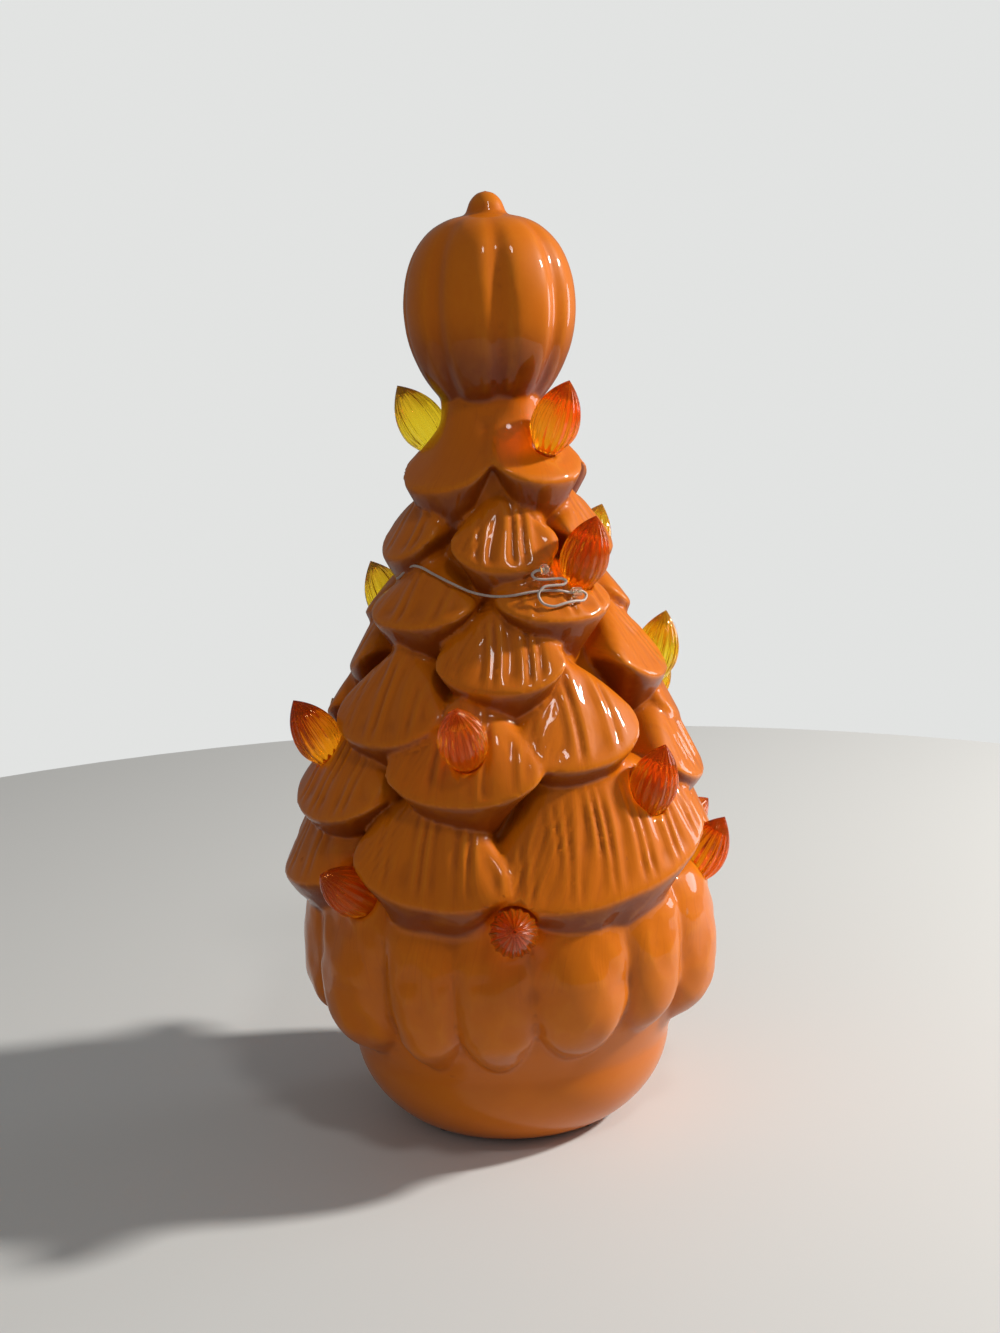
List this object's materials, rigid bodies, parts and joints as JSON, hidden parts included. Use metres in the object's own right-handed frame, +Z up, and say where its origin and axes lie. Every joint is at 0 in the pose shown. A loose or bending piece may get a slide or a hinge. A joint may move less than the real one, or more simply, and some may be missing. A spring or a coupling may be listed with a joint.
{
  "type": "ceramic halloween tree",
  "caption": "Orange glazed ceramic tree with a pumpkin on top, plug-in plastic light bulbs, a hanging tag string and a battery light unit in its foot.",
  "frame": {"origin": "on the tree's axis, at the floor it stands on", "axes": "+Z up along the tree's axis, -Y the tree's front, +X to the right seen from the front"},
  "size_m": [0.0877, 0.1022, 0.182],
  "materials": {
    "orange_glaze": "glossy orange glaze over cast ceramic",
    "amber_plastic": "clear, fluted",
    "yellow_plastic": "clear, fluted",
    "foam": "matt foam",
    "string": "thin pale string",
    "clear_plastic": "clear to milky",
    "soft_rubber": "soft, matt",
    "white_plastic": "satin",
    "steel": "plated",
    "green_board": "lacquered board",
    "black_plastic": "satin"
  },
  "bodies": {
    "tree": {"ceramic_tree": "orange_glaze", "foot_pad_1": "foam", "foot_pad_2": "foam", "foot_pad_3": "foam", "foot_pad_4": "foam", "tag_string": "string", "tag_loop": "string", "tag_lock": "clear_plastic", "tag_bead": "clear_plastic", "tag_end_bead": "clear_plastic", "light_gasket": "soft_rubber", "light_housing": "white_plastic", "light_lens": "clear_plastic", "battery_cell_1": "steel", "battery_cell_2": "steel", "battery_cell_3": "steel", "battery_contact_positive": "steel", "battery_contact_negative": "steel", "light_base_plate": "white_plastic", "circuit_board": "green_board", "led_lamp": "clear_plastic", "switch_body": "black_plastic"},
    "bulb_01": {"bulb_01": "yellow_plastic"},
    "bulb_02": {"bulb_02": "amber_plastic"},
    "bulb_03": {"bulb_03": "yellow_plastic"},
    "bulb_04": {"bulb_04": "amber_plastic"},
    "bulb_05": {"bulb_05": "yellow_plastic"},
    "bulb_06": {"bulb_06": "yellow_plastic"},
    "bulb_07": {"bulb_07": "amber_plastic"},
    "bulb_08": {"bulb_08": "yellow_plastic"},
    "bulb_09": {"bulb_09": "amber_plastic"},
    "bulb_10": {"bulb_10": "amber_plastic"},
    "bulb_11": {"bulb_11": "amber_plastic"},
    "bulb_12": {"bulb_12": "amber_plastic"},
    "bulb_13": {"bulb_13": "amber_plastic"},
    "bulb_14": {"bulb_14": "amber_plastic"},
    "bulb_15": {"bulb_15": "amber_plastic"},
    "bulb_16": {"bulb_16": "yellow_plastic"},
    "bulb_17": {"bulb_17": "amber_plastic"},
    "bulb_18": {"bulb_18": "amber_plastic"},
    "bulb_19": {"bulb_19": "yellow_plastic"},
    "bulb_20": {"bulb_20": "amber_plastic"},
    "bulb_21": {"bulb_21": "amber_plastic"},
    "bulb_22": {"bulb_22": "amber_plastic"},
    "bulb_23": {"bulb_23": "amber_plastic"},
    "battery_door": {"battery_door": "white_plastic"},
    "battery_door_screw": {"battery_door_screw": "steel"},
    "switch_knob": {"switch_knob": "black_plastic"}
  },
  "joints": [
    {"name": "bulb_01_pull", "type": "slide", "parent": "tree", "child": "bulb_01", "axis": [-0.5248, 0.0738, 0.848], "range_m": [0, 0.009]},
    {"name": "bulb_02_pull", "type": "slide", "parent": "tree", "child": "bulb_02", "axis": [0.3096, -0.332, 0.891], "range_m": [0, 0.009]},
    {"name": "bulb_03_pull", "type": "slide", "parent": "tree", "child": "bulb_03", "axis": [0.3798, 0.2759, 0.8829], "range_m": [0, 0.009]},
    {"name": "bulb_04_pull", "type": "slide", "parent": "tree", "child": "bulb_04", "axis": [0.2555, -0.274, 0.9272], "range_m": [0, 0.009]},
    {"name": "bulb_05_pull", "type": "slide", "parent": "tree", "child": "bulb_05", "axis": [-0.4134, 0.2533, 0.8746], "range_m": [0, 0.009]},
    {"name": "bulb_06_pull", "type": "slide", "parent": "tree", "child": "bulb_06", "axis": [0.2686, 0.062, 0.9613], "range_m": [0, 0.009]},
    {"name": "bulb_07_pull", "type": "slide", "parent": "tree", "child": "bulb_07", "axis": [-0.4782, -0.1462, 0.866], "range_m": [0, 0.009]},
    {"name": "bulb_08_pull", "type": "slide", "parent": "tree", "child": "bulb_08", "axis": [-0.5065, 0.3957, 0.766], "range_m": [0, 0.009]},
    {"name": "bulb_09_pull", "type": "slide", "parent": "tree", "child": "bulb_09", "axis": [-0.1122, -0.577, 0.809], "range_m": [0, 0.009]},
    {"name": "bulb_10_pull", "type": "slide", "parent": "tree", "child": "bulb_10", "axis": [0.2542, -0.2289, 0.9397], "range_m": [0, 0.009]},
    {"name": "bulb_11_pull", "type": "slide", "parent": "tree", "child": "bulb_11", "axis": [0.4908, -0.0954, 0.866], "range_m": [0, 0.009]},
    {"name": "bulb_12_pull", "type": "slide", "parent": "tree", "child": "bulb_12", "axis": [-0.5917, -0.5517, 0.5878], "range_m": [0, 0.009]},
    {"name": "bulb_13_pull", "type": "slide", "parent": "tree", "child": "bulb_13", "axis": [0.0163, -0.9334, 0.3584], "range_m": [0, 0.009]},
    {"name": "bulb_14_pull", "type": "slide", "parent": "tree", "child": "bulb_14", "axis": [0.0605, 0.692, 0.7193], "range_m": [0, 0.009]},
    {"name": "bulb_15_pull", "type": "slide", "parent": "tree", "child": "bulb_15", "axis": [0.1677, 0.5485, 0.8192], "range_m": [0, 0.009]},
    {"name": "bulb_16_pull", "type": "slide", "parent": "tree", "child": "bulb_16", "axis": [-0.2868, 0.4967, 0.8192], "range_m": [0, 0.009]},
    {"name": "bulb_17_pull", "type": "slide", "parent": "tree", "child": "bulb_17", "axis": [0.3116, 0.5622, 0.766], "range_m": [0, 0.009]},
    {"name": "bulb_18_pull", "type": "slide", "parent": "tree", "child": "bulb_18", "axis": [-0.0616, 0.7044, 0.7071], "range_m": [0, 0.009]},
    {"name": "bulb_19_pull", "type": "slide", "parent": "tree", "child": "bulb_19", "axis": [0.5572, 0.4353, 0.7071], "range_m": [0, 0.009]},
    {"name": "bulb_20_pull", "type": "slide", "parent": "tree", "child": "bulb_20", "axis": [-0.3594, 0.5329, 0.766], "range_m": [0, 0.009]},
    {"name": "bulb_21_pull", "type": "slide", "parent": "tree", "child": "bulb_21", "axis": [0.2408, 0.596, 0.766], "range_m": [0, 0.009]},
    {"name": "bulb_22_pull", "type": "slide", "parent": "tree", "child": "bulb_22", "axis": [0.75, 0.433, 0.5], "range_m": [0, 0.009]},
    {"name": "bulb_23_pull", "type": "slide", "parent": "tree", "child": "bulb_23", "axis": [0.0671, 0.9589, 0.2756], "range_m": [0, 0.009]},
    {"name": "battery_door_off", "type": "slide", "parent": "tree", "child": "battery_door", "axis": [0, 0, -1], "range_m": [0, 0.01]},
    {"name": "battery_door_screw_turn", "type": "hinge", "parent": "battery_door", "child": "battery_door_screw", "pos_m": [0, 0.0045, 0.002], "axis": [0, 0, 1], "continuous": true},
    {"name": "switch_slide", "type": "slide", "parent": "tree", "child": "switch_knob", "axis": [1, 0, 0], "range_m": [0, 0.0025]}
  ]
}
